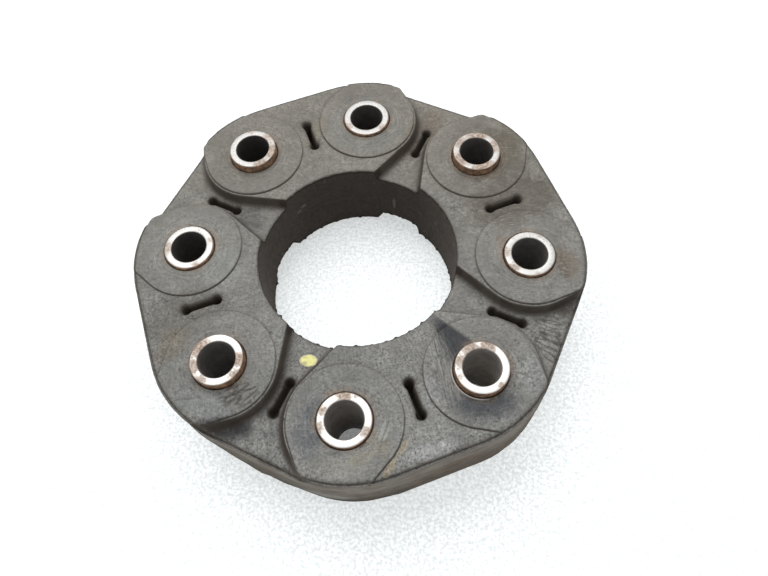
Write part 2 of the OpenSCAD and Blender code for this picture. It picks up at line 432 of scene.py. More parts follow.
def inside_outline(p):
    """How far points lie inside the outline, less than nothing outside."""
    q = np.abs(folded(p, 0.0, PITCH)[0])
    to_round = CORNER_R - np.hypot(q[:, 0] - CORNER_AT, q[:, 1])
    to_flat = FLAT_R - (q[:, 0] * math.cos(GAP) + q[:, 1] * math.sin(GAP))
    beside = np.arctan2(q[:, 1], q[:, 0] - CORNER_AT) > GAP
    return np.where(beside, to_flat, to_round)


def past_bush(p):
    """Distance of points from the nearest bush's axis."""
    q = folded(p, 0.0, PITCH)[0]
    return np.hypot(q[:, 0] - BOLT_R, q[:, 1])


def outward(p):
    """How far points lie towards +Y of the nearest bush, from -1 to 1."""
    _, spoke = folded(p, 0.0, PITCH)
    gone = p - polar(BOLT_R, spoke * PITCH)
    return gone[:, 1] / np.hypot(*gone.T)


# the ear, where a sunken link's edge meets the outline, and the turn at which its line leaves a round
ear = polar(EAR_REACH, EAR_TURN) - np.array([BOLT_R, 0.0])


def ear_turn(radius):
    """Bearing at which a line to the ear leaves a round about the bush."""
    return math.atan2(ear[1], ear[0]) - math.acos(radius / np.hypot(*ear))


# edge of a sunken link beside a bush: from the hole round the pad, along to the ear, round it and out
at_hole = polar(HOLE_R, SUNKEN_TURN) - np.array([BOLT_R, 0.0])
leave_hole = math.atan2(at_hole[1], at_hole[0]) + math.acos(LEDGE_R / np.hypot(*at_hole))
leave_pad = ear_turn(LEDGE_R)
round_pad = polar(LEDGE_R, np.linspace(leave_hole, leave_pad, 40))
to_corner = np.array([CORNER_AT - BOLT_R, 0.0])
off_line = polar(LEDGE_R - EAR_ROUND, leave_pad) - to_corner
along_line = polar(1.0, leave_pad + math.pi / 2)
half_way = off_line @ along_line
run_out = -half_way + math.sqrt(half_way ** 2 - off_line @ off_line + (CORNER_R - EAR_ROUND) ** 2)
to_ear = off_line + run_out * along_line
ear_end = math.atan2(to_ear[1], to_ear[0])
round_ear = to_ear + to_corner + polar(EAR_ROUND, np.linspace(leave_pad, ear_end, 16))
into_hole = at_hole + 4.0 * (at_hole - round_pad[0]) / np.hypot(*(at_hole - round_pad[0]))
past_ear = round_ear[-1] + 7.0 * polar(1.0, ear_end + math.pi / 2)
link_edge = np.vstack([into_hole, round_pad, round_ear, past_ear]) + np.array([BOLT_R, 0.0])
link_edge = resampled(turned(link_edge, GAP), 0.55)
pocket = np.vstack([link_edge, link_edge[-1] * 1.2, [110.0, -2.0], [20.0, -2.0]])


def into_sunken(p):
    """Distance outside the edge of the nearest sunken link, less than nothing in it."""
    q = folded(p, FIRST_SUNKEN, 2 * PITCH)[0]
    q[:, 1] = np.abs(q[:, 1])
    return np.where(within(q, pocket), -1.0, 1.0) * nearest(q, link_edge[::2])


# edge of a pad beside the bush at nought: a round that runs out straight to the outline on both sides
pad_round = polar(PAD_R, np.linspace(FLARE, 2 * math.pi + ear_turn(PAD_R), 120))
pad_edge = np.vstack([pad_round[0] + 26.0 * polar(1.0, FLARE - math.pi / 2), pad_round,
                      pad_round[-1] + 26.0 * polar(1.0, ear_turn(PAD_R) + math.pi / 2)])
pad_edge = resampled(pad_edge, 0.6)


def off_pad(p):
    """Distance outside the edge of the nearest pad, less than nothing on it."""
    q, spoke = folded(p, 0.0, PITCH)
    out = q[:, 0] - BOLT_R
    across = np.where(spoke % 2 == 0, q[:, 1], -q[:, 1])
    bearing = np.arctan2(across, out)
    gone = np.hypot(out, across) - PAD_R
    for turn, beside in ((FLARE, (bearing >= 0) & (bearing < FLARE)),
                         (ear_turn(PAD_R), (bearing < 0) & (bearing > ear_turn(PAD_R)))):
        gone = np.where(beside, out * math.cos(turn) + across * math.sin(turn) - PAD_R, gone)
    return gone


# slot: two bulbs joined by a neck
BULB_R = 1.65
NECK = 1.0
BULB_AT = 5.4
SLOT_AT = 56.43
open_at = math.asin(NECK / BULB_R)
bulb = polar(BULB_R, np.linspace(open_at - math.pi, math.pi - open_at, 30)) + np.array([BULB_AT, 0.0])
slot = resampled(np.vstack([bulb, -bulb]), 0.42, True)
for _ in range(3):
    slot = (np.roll(slot, 1, 0) + 2 * slot + np.roll(slot, -1, 0)) / 4


def into_slot(p):
    """Distance outside the nearest slot, less than nothing in it."""
    q = folded(p, GAP, PITCH)[0] - np.array([SLOT_AT, 0.0])
    near = (np.abs(q[:, 0]) < 10) & (np.abs(q[:, 1]) < 5)
    gone = np.full(len(p), 9.0)
    gone[near] = nearest(q[near], slot, True)
    in_bulb = np.hypot(np.abs(q[:, 0]) - BULB_AT, q[:, 1]) < BULB_R
    in_neck = (np.abs(q[:, 0]) < BULB_AT) & (np.abs(q[:, 1]) < NECK)
    return np.where(in_bulb | in_neck, -gone, gone)


# long cracks in the upper face, as they run over the pads
cracks = [(depth, resampled(np.array(line), 0.4)) for depth, line in (
    (0.55, [(-39.9, -55.5), (-37.6, -54.0), (-34.8, -52.5), (-32.0, -51.6), (-29.5, -50.2)]),
    (0.35, [(-54.0, -55.3), (-50.2, -55.0), (-46.5, -54.1)]),
    (0.6, [(5.3, -68.0), (6.2, -67.4), (6.7, -66.3)]),
    (0.3, [(17.6, -67.2), (16.2, -68.9), (15.9, -70.4), (14.6, -71.6), (14.3, -73.2), (12.6, -74.6),
           (11.2, -76.6)]))]
FAN_FROM = np.array([52.5, -21.5])
DAB_AT = np.array([-14.0, -39.2])
DAB_HALF = np.array([3.0, 2.15])
# wrinkled stretches of the upper face: middle, half size, bearing and length of the wrinkles, painted shade
# and dirt in them
wrinkled = [((65.8, -29.5), (6.5, 13.0), None, 6.0, 0.85),
            ((-34.5, -53.0), (8.0, 4.6), 28, 4.5, 0.85),
            ((57.6, -42.6), (5.0, 7.5), 65, 1.6, 0.5),
            ((27.4, -49.5), (2.2, 7.0), 165, 2.6, 0.5),
            ((71.2, -4.2), (2.6, 6.2), 70, 1.7, 0.45)]


def share_of(p, middle, half):
    """One in the middle of an oval, falling to nothing just past its edge."""
    return np.clip(1.3 - np.hypot(*((p - np.array(middle)) / np.array(half)).T) ** 2, 0.0, 1.0)


def marks(p):
    """Lift of the upper face at its wrinkles, cracks and paint dab, and the painted shade and dirt in the
    wrinkles and cracks.
    """
    lift = np.zeros(len(p))
    crease_shade_and_dirt = np.zeros(len(p))
    for number, (middle, half, bearing, length, shade_and_dirt_strength) in enumerate(wrinkled):
        share = share_of(p, middle, half)
        near = share > 0
        if bearing is None:
            gone = p[near] - FAN_FROM
            along = np.column_stack([np.hypot(*gone.T) / length, np.arctan2(gone[:, 1], gone[:, 0]) * 9.0])
        else:
            along = turned(p[near] - np.array(middle), -math.radians(bearing)) / np.array([length, 1.5])
        split = np.exp(-(rough(along, 1.0, 4.0 + number) / 0.13) ** 2) * share[near]
        plates = np.tanh(4.0 * rough(along, 1.7, 14.0 + number)) * share[near]
        lift[near] += 0.12 * plates - 0.4 * split
        crease_shade_and_dirt[near] = np.maximum(crease_shade_and_dirt[near], shade_and_dirt_strength * split)
    for depth, line in cracks:
        near = (np.abs(p - line.mean(0)) < 9.0).all(1)
        split = depth * np.exp(-(nearest(p[near], line) / 0.22) ** 2)
        lift[near] -= 0.5 * split
        crease_shade_and_dirt[near] = np.maximum(crease_shade_and_dirt[near], split)
    dab = np.hypot(*((p - DAB_AT) / DAB_HALF).T)
    return lift + np.interp(dab, [0.0, 0.92, 1.0, 1.06], [0.12, 0.16, 0.1, 0.0]), crease_shade_and_dirt


# how the face rises, falls or takes painted shade and dirt across each edge: distance in millimetres, share
# or height
PAD_STEP = ([-0.5, -0.25, -0.1, 0.0, 0.08, 0.18, 0.42], [1.0, 0.97, 0.8, 0.2, -0.3, -0.45, 0.0])
LINK_FALL = ([-3.0, -2.2, -1.6, -1.1, -0.7, -0.35, -0.1, 0.1, 0.38],
             [1.0, 0.985, 0.95, 0.87, 0.72, 0.44, 0.17, 0.05, 0.0])
SLOT_FALL = ([-0.85, -0.55, -0.3, -0.05, 0.2, 0.55, 1.0], [1.0, 0.9, 0.55, 0.22, 0.07, 0.02, 0.0])
SEAT_LIP = ([8.85, 9.0, 9.15, 9.35, 9.5, 9.7, 10.6], [-0.9, -0.75, -0.3, 0.16, 0.12, 0.0, 0.0])
RIM_CREASE = ([0.0, 0.15, 0.45, 0.8, 1.1, 1.6], [-0.9, -0.55, -1.2, -0.8, -0.28, 0.0])
HOLE_EDGE = ([0.0, 0.12, 0.4, 0.9], [-0.55, -0.25, -0.06, 0.0])
WALL_SHADE_AND_DIRT = ([-3.4, -2.2, -1.4, -0.7, 0.0, 0.2, 0.38], [0.0, 0.25, 0.6, 0.88, 0.85, 0.45, 0.0])


def surface(p, level, marked):
    """Height of the moulded face at points of the plan, with painted shade and dirt in its creases and
    hollows, and its wear.
    """
    to_bush = past_bush(p)
    sunk = into_sunken(p)
    to_slot = into_slot(p)
    inner = inside_outline(p)
    to_hole = np.hypot(p[:, 0], p[:, 1]) - HOLE_R
    beyond = off_pad(p)
    top = LINK_TOP + (PAD_TOP - LINK_TOP) * np.interp(beyond, *PAD_STEP)
    top = top + 0.06 * rough(p, 16.0, level) + 0.04 * rough(p, 5.0, level) - 0.1
    floor = FLOOR + 0.05 * rough(p, 9.0, level + 3)
    z = top + (floor - top) * np.interp(sunk, *LINK_FALL)
    z = z + (SLOT_FLOOR - z) * np.interp(to_slot, *SLOT_FALL)
    z = z + np.interp(to_bush, *SEAT_LIP) * (1.0 + 0.6 * rough(p, 4.0, level + 8))
    z = z + np.interp(inner, *RIM_CREASE) + np.interp(to_hole, *HOLE_EDGE)
    # painted shade and dirt: at the sunken links' walls, in the slots, along the rim crease (more in
    # front), round each seat, along the pads' edges (more on the near side) and at the hole's rim
    shade_and_dirt = np.interp(sunk, *WALL_SHADE_AND_DIRT)
    shade_and_dirt = np.maximum(shade_and_dirt, 0.85 * np.exp(-np.maximum(to_slot, 0) / 0.6))
    in_front = np.interp(p[:, 1], [-30.0, 30.0], [1.0, 0.35])
    crease_at = np.interp(p[:, 1], [-60.0, -20.0], [0.85, 0.5])
    shade_and_dirt = np.maximum(shade_and_dirt, in_front * np.exp(-np.abs(inner - crease_at) / 0.4))
    shade_and_dirt = np.maximum(shade_and_dirt, 0.7 * np.exp(-np.abs(to_bush - 8.95) / 0.25) * (to_bush < 11))
    near_side = np.clip(0.55 - 0.6 * outward(p), 0.25, 1.0)
    shade_and_dirt = np.maximum(shade_and_dirt, near_side * np.exp(-((beyond - 0.12) / 0.2) ** 2) * np.clip(sunk * 4, 0, 1))
    shade_and_dirt = np.maximum(shade_and_dirt, 0.9 * np.exp(-to_hole / 0.3))
    worn = np.maximum(0.5 * np.exp(-np.abs(sunk - 0.55) / 0.3), np.exp(-np.abs(inner - 1.2) / 0.3))
    worn = np.maximum(worn, np.exp(-np.abs(to_bush - 9.45) / 0.14))
    if marked:
        lift, crease_shade_and_dirt = marks(p)
        z = z + lift
        shade_and_dirt = np.maximum(shade_and_dirt, crease_shade_and_dirt)
    return z, shade_and_dirt, worn


# rows of points along every edge, as they lie in the plan; then a loose net between them
rows = [(moved_out(outline, -d, True), "rim") for d in RIM_CREASE[0]]
circle = np.linspace(0, 2 * math.pi, 433)[:-1]
rows += [(polar(HOLE_R + d, circle), "rim") for d in HOLE_EDGE[0]]
seat = np.linspace(0, 2 * math.pi, 97)[:-1]
for k in range(8):
    bush = polar(BOLT_R, k * PITCH)
    rows += [(bush + polar(r, seat), "rim") for r in SEAT_LIP[0]]
    for d in PAD_STEP[0]:
        line = moved_out(pad_edge, -d) * np.array([1.0, 1.0 if k % 2 == 0 else -1.0])
        rows.append((turned(line + np.array([BOLT_R, 0.0]), k * PITCH), "pad"))
    for d in SLOT_FALL[0]:
        rows.append((turned(moved_out(slot, d, True) + np.array([SLOT_AT, 0.0]), GAP + k * PITCH), "slot"))
for k in range(4):
    for side in (1.0, -1.0):
        for d in LINK_FALL[0]:
            line = moved_out(link_edge, -d) * np.array([1.0, side])
            rows.append((turned(line, FIRST_SUNKEN + k * 2 * PITCH), "link"))
rows += [(moved_out(line, d), "crack") for _, line in cracks for d in (-0.35, 0.0, 0.35)]
dab_turn = np.linspace(0, 2 * math.pi, 49)[:-1]
rows += [(DAB_AT + r * DAB_HALF * polar(1.0, dab_turn), "rim") for r in (0.92, 1.0, 1.06)]
points, edges = [], []
for line, kind in rows:
    keep = np.ones(len(line), bool)
    if kind == "pad":
        keep = (into_sunken(line) > 0.45) & (inside_outline(line) > 0.7)
    if kind == "link":
        keep = (inside_outline(line) > -1.0) & (np.hypot(*line.T) > HOLE_R - 1.0) & (into_slot(line) > 1.05)
    index = np.full(len(line), -1)
    index[keep] = len(points) + np.arange(keep.sum())
    points += [tuple(q) for q in line[keep]]
    closed = kind in ("rim", "slot")
    for a in range(len(line) if closed else len(line) - 1):
        b = (a + 1) % len(line)
        if index[a] >= 0 and index[b] >= 0:
            edges.append((int(index[a]), int(index[b])))


def net(pitch):
    """Points of a slightly shaken triangle net over the whole plan."""
    x, y = np.meshgrid(np.arange(-82, 82, pitch), np.arange(-82, 82, pitch * 0.866))
    x = x + np.where(np.arange(len(y)) % 2, 0.5 * pitch, 0.0)[:, None]
    p = np.column_stack([x.ravel(), y.ravel()])
    p = p[(np.hypot(*p.T) > HOLE_R) & (np.hypot(*p.T) < 82)]
    return p + 0.15 * pitch * np.stack([rough(p, 1.3, 5.0), rough(p, 1.3, 9.0)], 1)


def in_wrinkles(p):
    """Which points lie on a wrinkled stretch."""
    return np.max([share_of(p, middle, half) for middle, half, *_ in wrinkled], axis=0) > 0


def free(p, room):
    """Which points keep clear of the rows by about room."""
    clear = (inside_outline(p) > 1.4 + room) & (np.hypot(*p.T) > HOLE_R + 0.9 + room)
    clear &= (past_bush(p) > 10.6 + room) & (np.abs(off_pad(p)) > 0.45 + room) & (into_slot(p) > 1.0 + room)
    sunk = into_sunken(p)
    return clear & ((sunk > 0.4 + room) | (sunk < -3.0 - room))


LOOSE_PITCH = 1.7
TIGHT_PITCH = 0.42
loose = net(LOOSE_PITCH)
loose = loose[free(loose, 0.6) & ~in_wrinkles(loose)]
tight = net(TIGHT_PITCH)
tight = tight[in_wrinkles(tight)]
tight = tight[free(tight, 0.2)]
points += [tuple(q) for q in np.vstack([loose, tight])]
plan, _, faces, _, _, _ = delaunay_2d_cdt([Vector(q) for q in points], edges, [], 0, 1e-4, False)
plan = np.array([tuple(q) for q in plan])
faces = np.array(faces)
middles = plan[faces].mean(1)
# a chord of each polygon lies a little inside its circle, so the limits do too
kept = (inside_outline(middles) > -0.002) & (np.hypot(*middles.T) > HOLE_R - 0.002)
kept &= past_bush(middles) > SEAT_R - 0.006
faces = faces[kept]
used = np.unique(faces)
renumber = np.full(len(plan), -1)
renumber[used] = np.arange(len(used))
plan = plan[used]
faces = renumber[faces]
count = len(plan)

# rims of the face, each in order: the outline, the hole and the eight seats
sides = set()
for a, b, c in faces:
    sides |= {(a, b), (b, c), (c, a)}
follow = {a: b for a, b in sides if (b, a) not in sides}
loops = []
while follow:
    start = min(follow)
    loop = [start]
    here = follow.pop(start)
    while here != start:
        loop.append(here)
        here = follow.pop(here)
    loops.append(np.array(loop))

# both faces, the upper one with its marks, then the walls between their rims, row by row
OUTER_ROWS = [0.03, 0.07, 0.12, 0.2, 0.3, 0.4, 0.45, 0.47, 0.485, 0.5, 0.515, 0.53, 0.55, 0.6, 0.7, 0.8,
              0.88, 0.95]
HOLE_ROWS = [0.04, 0.1, 0.2, 0.32, 0.44, 0.48, 0.5, 0.52, 0.56, 0.68, 0.8, 0.9, 0.96]
upper, upper_shade_and_dirt, upper_wear = surface(plan, 0.0, True)
lower, lower_shade_and_dirt, lower_wear = surface(plan, 20.0, False)
places = [np.column_stack([plan, upper]), np.column_stack([plan, -lower])]
shade_and_dirt_layers = [upper_shade_and_dirt, lower_shade_and_dirt]
wear = [upper_wear, lower_wear]
corners = [tuple(f) for f in faces] + [tuple(count + f[::-1]) for f in faces]
total = 2 * count
for loop in loops:
    p = plan[loop]
    far = np.hypot(*p.T)
    bearing = np.arctan2(p[:, 1], p[:, 0])
    turn = np.degrees(bearing) % 360
    shares = []
    if far.min() > 70:
        shares = OUTER_ROWS
    elif far.max() < HOLE_R + 1:
        shares = HOLE_ROWS
        # torn flash along the rim of the hole
        torn = np.clip(rough(np.column_stack([bearing * HOLE_R, 0 * far]), 1.7, 3.0), 0, 1)
        tabs = np.clip(rough(np.column_stack([bearing * HOLE_R, 0 * far]), 5.0, 13.0) - 0.35, 0, 1)
        for face in places[:2]:
            face[loop, :2] *= (1.0 - (0.12 + 0.9 * torn + 2.0 * tabs) / far)[:, None]
    before = loop
    for share in shares:
        z = upper[loop] - (upper[loop] + lower[loop]) * share
        around = np.column_stack([bearing * far, z])
        if far.min() > 70:
            grown = SWELL * (1 - np.abs(z) / PAD_TOP) + 0.2 * np.exp(-(z / 0.3) ** 2) - 0.1
            # along the front the lower half of the mould ran over a little
            spill = 1.35 * np.exp(-((turn - 248.5) / 10) ** 2)
            spill = spill + 0.8 * np.interp(turn, [276, 284, 318, 325], [0, 1, 1, 0])
            grown = grown + spill * np.clip(-z / 6.0, 0, 1) * (1.0 + 0.3 * rough(around, 5.0, 11.0))
            grown = grown - 0.16 * np.abs(rough(around, 6.0, 2.0)) - 0.1 * np.abs(rough(around, 1.8, 4.0))
        else:
            grown = 0.1 + 0.1 * rough(around, 4.0, 6.0) - 0.12 * np.exp(-(z / 0.3) ** 2)
        places.append(np.column_stack([p * (1 + grown / far)[:, None], z]))
        shade_and_dirt_layers.append(np.zeros(len(loop)))
        wear.append(np.zeros(len(loop)))
        row = total + np.arange(len(loop))
        total += len(loop)
        corners += list(zip(np.roll(before, -1), before, row, np.roll(row, -1)))
        before = row
    corners += list(zip(np.roll(before, -1), before, count + loop, np.roll(count + loop, -1)))
casing_mesh = bpy.data.meshes.new("rubber_casing")
skin_faces = [tuple(int(v) for v in f) for f in corners]
casing_mesh.from_pydata((np.vstack(places) * MM).tolist(), [], skin_faces)
for name, values in (("shade_and_dirt", shade_and_dirt_layers), ("worn_edge", wear)):
    layer = casing_mesh.attributes.new(name, "FLOAT", "POINT")
    layer.data.foreach_set("value", np.concatenate(values).astype(np.float32))
casing_mesh.shade_smooth()
casing = bpy.data.objects.new("rubber_casing_skin", casing_mesh)
bpy.context.scene.collection.objects.link(casing)

rubber, shader, spot = new_finish("worn_rubber")
along_x, along_y, height = parted(spot)
upright = parted(spot.node("ShaderNodeNewGeometry", None, 1))[2].math("ABSOLUTE")
level_face = upright.step(0.35, 0.85)
shade_and_dirt = spot.node("ShaderNodeAttribute", {"attribute_name": "shade_and_dirt"}, 2)
worn_edge = spot.node("ShaderNodeAttribute", {"attribute_name": "worn_edge"}, 2)
reach = from_middle(spot)
bearing = along_y.math("ARCTAN2", along_x)
cloud = spot.grain(24.0, 3.0)
blotch = spot.grain(7.0, 4.0, 0.6)
coarse = spot.grain(3.0, 3.0, 0.6)
fine = spot.grain(1.25, 2.0, 0.7)
grit = spot.grain(0.7, 1.0, 0.5)


def patch(x, y, along, across, degrees, ragged=0.8, soft=0.65, z=15.0, tall=9.0):
    """Share of a ragged oval patch, on the upper face unless z and tall say otherwise."""
    there = spot.node("ShaderNodeMapping", {"vector_type": "TEXTURE"}, 0, Vector=spot, Location=(x, y, z),
                      Rotation=(0.0, 0.0, math.radians(degrees)), Scale=(along, across, tall))
    gone = there.node("ShaderNodeVectorMath", {"operation": "LENGTH"}, 1, i0=there)
    return (gone + (blotch - 0.5) * ragged + (coarse - 0.5) * 0.5).step(1.2 - soft, 1.2, 1.0, 0.0)


def strokes(degrees, length, width):
    """Noise drawn out along a bearing, as rubbing leaves it."""
    turned_spot = spot.node("ShaderNodeMapping", {"vector_type": "TEXTURE"}, 0, Vector=spot,
                            Rotation=(0.0, 0.0, math.radians(degrees)), Scale=(length, width, 4.0))
    return turned_spot.grain(1.0, 2.0, 0.5)


# the whole skin: grey bloom, browner towards one side, with scuffs from the middle outwards
bloom = along_y.step(-70.0, 75.0).mix((0.213, 0.213, 0.203), (0.213, 0.2, 0.174))
# stains, rubbed places and two painted shadows on sunken floors beside their walls: x, y, half length, half
# width, bearing, colour, strength
stains_and_shadows = [
    (55.0, 22.5, 21.0, 11.0, 22, (0.125, 0.111, 0.09), 0.7),
    (-58.0, -24.5, 16.0, 10.0, 22, (0.157, 0.149, 0.13), 0.75),
    (48.0, 43.0, 17.0, 13.0, 45, (0.142, 0.125, 0.099), 0.9),
    (24.0, -58.0, 14.0, 8.0, -67, (0.265, 0.265, 0.25), 0.7),
    (-10.5, -63.0, 10.0, 5.0, 80, (0.13, 0.137, 0.142), 0.85),
    (-47.0, -8.0, 8.0, 10.0, 0, (0.272, 0.275, 0.26), 0.7),
    (-60.0, 3.0, 14.0, 13.0, 0, (0.25, 0.255, 0.243), 0.5),
    (0.0, 58.0, 15.0, 14.0, 0, (0.215, 0.216, 0.202), 0.65),
    (-23.0, 55.5, 15.0, 7.0, -67, (0.178, 0.167, 0.148), 0.6),
    (-42.5, 16.5, 8.0, 5.0, 157, (0.1, 0.1, 0.094), 0.7),
    (-2.0, -74.5, 10.0, 3.4, 0, (0.265, 0.26, 0.235), 0.7),
    (23.5, 57.0, 16.0, 6.5, 67, (0.19, 0.163, 0.128), 0.8),
    # painted shadow on the floor beside a sunken link's wall
    (-38.5, -63.4, 10.0, 3.9, 6, (0.04, 0.04, 0.043), 0.95),
    (-46.0, -56.5, 11.0, 4.0, -14, (0.24, 0.25, 0.243), 0.7),
    (72.7, -3.0, 4.0, 7.0, 10, (0.19, 0.155, 0.118), 0.6),
    (-20.0, 53.0, 9.0, 2.6, 68, (0.26, 0.225, 0.17), 0.55),
    (-60.5, -37.5, 8.0, 4.0, 60, (0.21, 0.17, 0.125), 0.45),
    (-58.0, -36.0, 5.0, 6.0, 0, (0.205, 0.184, 0.15), 0.5),
    (27.0, -50.0, 2.4, 6.8, 12, (0.34, 0.345, 0.34), 0.65),
    (57.5, -42.5, 5.0, 7.5, 0, (0.34, 0.345, 0.335), 0.65),
    (65.5, -30.0, 5.0, 10.0, 8, (0.22, 0.217, 0.2), 0.5),
    (27.0, -68.2, 9.0, 2.6, 16, (0.37, 0.376, 0.37), 0.7),
    (18.0, -68.0, 4.0, 1.1, 58, (0.34, 0.285, 0.185), 0.65),
    (14.6, -73.6, 3.8, 1.2, 58, (0.34, 0.285, 0.185), 0.6),
    (11.5, -66.5, 5.5, 3.4, -60, (0.255, 0.232, 0.17), 0.4),
    (6.0, -71.0, 5.0, 2.0, 20, (0.27, 0.25, 0.19), 0.5),
    (11.9, -62.4, 3.6, 0.6, 76, (0.38, 0.39, 0.385), 0.7),
    (13.2, -63.2, 2.6, 0.5, 70, (0.38, 0.39, 0.385), 0.6),
    (-19.0, -46.0, 9.0, 4.0, 67, (0.245, 0.238, 0.218), 0.6),
    # painted shadow on the floor beside a sunken link's wall
    (72.5, -18.5, 5.0, 3.0, 20, (0.075, 0.066, 0.056), 0.8),
    (51.2, 3.3, 1.6, 5.5, 20, (0.25, 0.188, 0.127), 0.5),
    (-3.0, -50.9, 5.5, 1.0, 16, (0.24, 0.182, 0.125), 0.4)]
skin = bloom
for x, y, along, across, degrees, colour, strength in stains_and_shadows:
    skin = (patch(x, y, along, across, degrees) * strength).mix(skin, colour)
# one pad polished dark: a wedge from the hole to the bush, and behind the bush a soft painted shadow, made
# smoother too
over = (along_x - 29.2) * -0.6 + (along_y + 24.3) * -0.8
beside = (along_x - 25.4) * 0.905 + (along_y + 25.4) * 0.426
run = (along_x - 26.5) * 0.7 + (along_y + 24.5) * -0.71
rubbed_edge = (strokes(-62, 7.0, 0.5) - 0.5) * 5.0
wedge = over.step(-0.5, 1.1) * (beside + rubbed_edge + (blotch - 0.5) * 3.0).step(-1.8, 3.2)
wedge = wedge * run.step(-3.0, 5.0, 0.35, 1.0) * run.step(14.0, 17.0, 1.0, 0.0)
painted_bush_shadow = patch(43.0, -53.2, 11.5, 6.2, 2, 0.3, 0.8)
skin = wedge.mix(skin, (0.026, 0.028, 0.031))
skin = (painted_bush_shadow * 0.9).mix(skin, (0.045, 0.049, 0.056))
# brown dust washed out of the rust round each bush
from_axis = from_bush(spot)
ring_stain = from_axis.step(9.3, 12.0, 1.0, 0.0) * blotch.step(0.4, 0.6)
skin = (ring_stain * 0.45).mix(skin, (0.23, 0.165, 0.11))
# grain: pebbled all over, in stronger and weaker patches, with rays across the links and rubbed strokes
around = spot.node("ShaderNodeCombineXYZ", None, 0, X=bearing * 80.0, Y=reach / 9.0, Z=height)
rays = around.grain(1.0, 2.0, 0.6)
rubbed = strokes(-77, 8.0, 0.5)
pebbles = (grit - 0.5) * along_y.step(-60.0, 30.0, 1.6, 0.4) + (fine - 0.5) * 1.5 + (coarse - 0.5) * 0.5
pebbles = pebbles * blotch.step(0.3, 0.68, 0.5, 1.25) * from_axis.step(17.5, 20.0, 0.8, 1.1)
drawn = (rays - 0.5) * from_axis.step(17.5, 20.0) * 0.6
rubbed_here = patch(31.0, -40.0, 14.0, 5.0, -77) * 2.4 + along_y.step(-25.0, -60.0) * 0.5
drawn = drawn + (rubbed - 0.5) * rubbed_here
# rings rubbed by the washers round each bush
ringed = spot.node("ShaderNodeCombineXYZ", None, 0, X=from_axis * 1.7, Y=along_x * 0.22, Z=along_y * 0.22)
ringed = ringed.grain(1.0, 2.0, 0.6)
washer = from_axis.step(9.7, 10.3) * from_axis.step(12.0, 16.0, 1.0, 0.0)
drawn = drawn + (ringed - 0.5) * washer * 1.1
shaded = (blotch - 0.5) * 0.4 + (cloud - 0.5) * 0.4
skin = scaled(skin, (1.0 + pebbles + drawn + shaded).math("MAXIMUM", 0.2))
scratched = strokes(8, 3.2, 0.26).step(0.61, 0.67) * cloud.step(0.42, 0.58) * 0.6
cross_marks = strokes(105, 2.4, 0.26).step(0.61, 0.67) * blotch.step(0.48, 0.6) * 0.55
ring_marks = ringed.step(0.63, 0.7) * washer * blotch.step(0.47, 0.6) * 0.6
scratched = scratched.math("MAXIMUM", cross_marks).math("MAXIMUM", ring_marks)
skin = (scratched * (1.0 - painted_bush_shadow.math("MAXIMUM", wedge))).mix(skin, (0.4, 0.395, 0.375))
# walls: near black in the hole, tan and dusty outside
# painted sheen: the hole's wall lighter towards both sides
hole_wall = (0.55 + blotch * 0.5 + coarse * 0.4) * along_x.math("ABSOLUTE").step(18.0, 34.0, 1.0, 1.4)
hole_wall = scaled((0.072, 0.06, 0.05), hole_wall)
nicks = spot.grain(1.5, 2.0, 0.5, (1.0, 1.0, 0.3)).step(0.66, 0.74) * cloud.step(0.45, 0.6) * 0.3
# pale flecks on the hole's wall: x, y, z, half length, half height
flecks = ((-25.0, 24.5, 3.4, 1.3, 1.0), (-23.3, 26.1, 5.0, 1.3, 1.0), (11.3, 33.1, -2.4, 0.7, 3.8),
          (27.7, 21.3, 1.5, 0.8, 0.8), (-32.6, 12.7, -9.1, 0.8, 0.9))
for x, y, z, along, tall in flecks:
    turn = 90.0 + math.degrees(math.atan2(y, x))
    nicks = nicks.math("MAXIMUM", patch(x, y, along, 3.0, turn, 0.5, 0.6, z, tall) * 0.6)
hole_wall = nicks.mix(hole_wall, (0.24, 0.225, 0.2))
# painted shade and dirt: the outer walls darker towards the bottom
shade_by_height = (height + (blotch - 0.5) * 7.0 + (coarse - 0.5) * 3.0).step(-13.0, 8.0)
outer_wall = shade_by_height.mix((0.05, 0.042, 0.034), (0.29, 0.266, 0.226))
dusty = spot.grain(11.0, 3.0, 0.6, (1.0, 1.0, 2.5)).step(0.42, 0.65)
outer_wall = (dusty * 0.5).mix(outer_wall, (0.15, 0.118, 0.085))
band = spot.node("ShaderNodeCombineXYZ", None, 0, X=bearing * 9.0, Y=height * 0.55, Z=reach * 0.1)
smeared = band.grain(1.0, 4.0, 0.6)
outer_wall = (smeared.step(0.5, 0.66) * 0.55).mix(outer_wall, (0.105, 0.073, 0.048))
rusty = patch(38.0, -68.0, 24.0, 8.0, 30, z=-5.0, tall=12.0) * smeared.step(0.4, 0.55)
outer_wall = (rusty * 0.5).mix(outer_wall, (0.15, 0.1, 0.066))
pale = patch(-5.0, -78.0, 9.0, 5.0, 0, z=-5.0, tall=7.0)
outer_wall = (pale * 0.8).mix(outer_wall, (0.37, 0.35, 0.31))
outer_wall = scaled(outer_wall, 0.1 + smeared * 0.5 + blotch * 0.7 + fine * 0.6)
# painted contact shadow: near black along the bottom edge
outer_wall = height.step(-16.2, -14.0, 0.8, 0.0).mix(outer_wall, (0.02, 0.017, 0.014))
walls = reach.step(36.5, 38.5).mix(hole_wall, outer_wall)
# painted shade on the walls under the ears of two pads
for x, y, degrees in ((-42.1, -62.5, 16), (74.0, -14.4, 29)):
    walls = (patch(x, y, 9.0, 4.0, degrees, 0.4, 0.5, 13.6, 4.0) * 0.75).mix(walls, (0.035, 0.029, 0.024))
skin = level_face.mix(walls, skin)
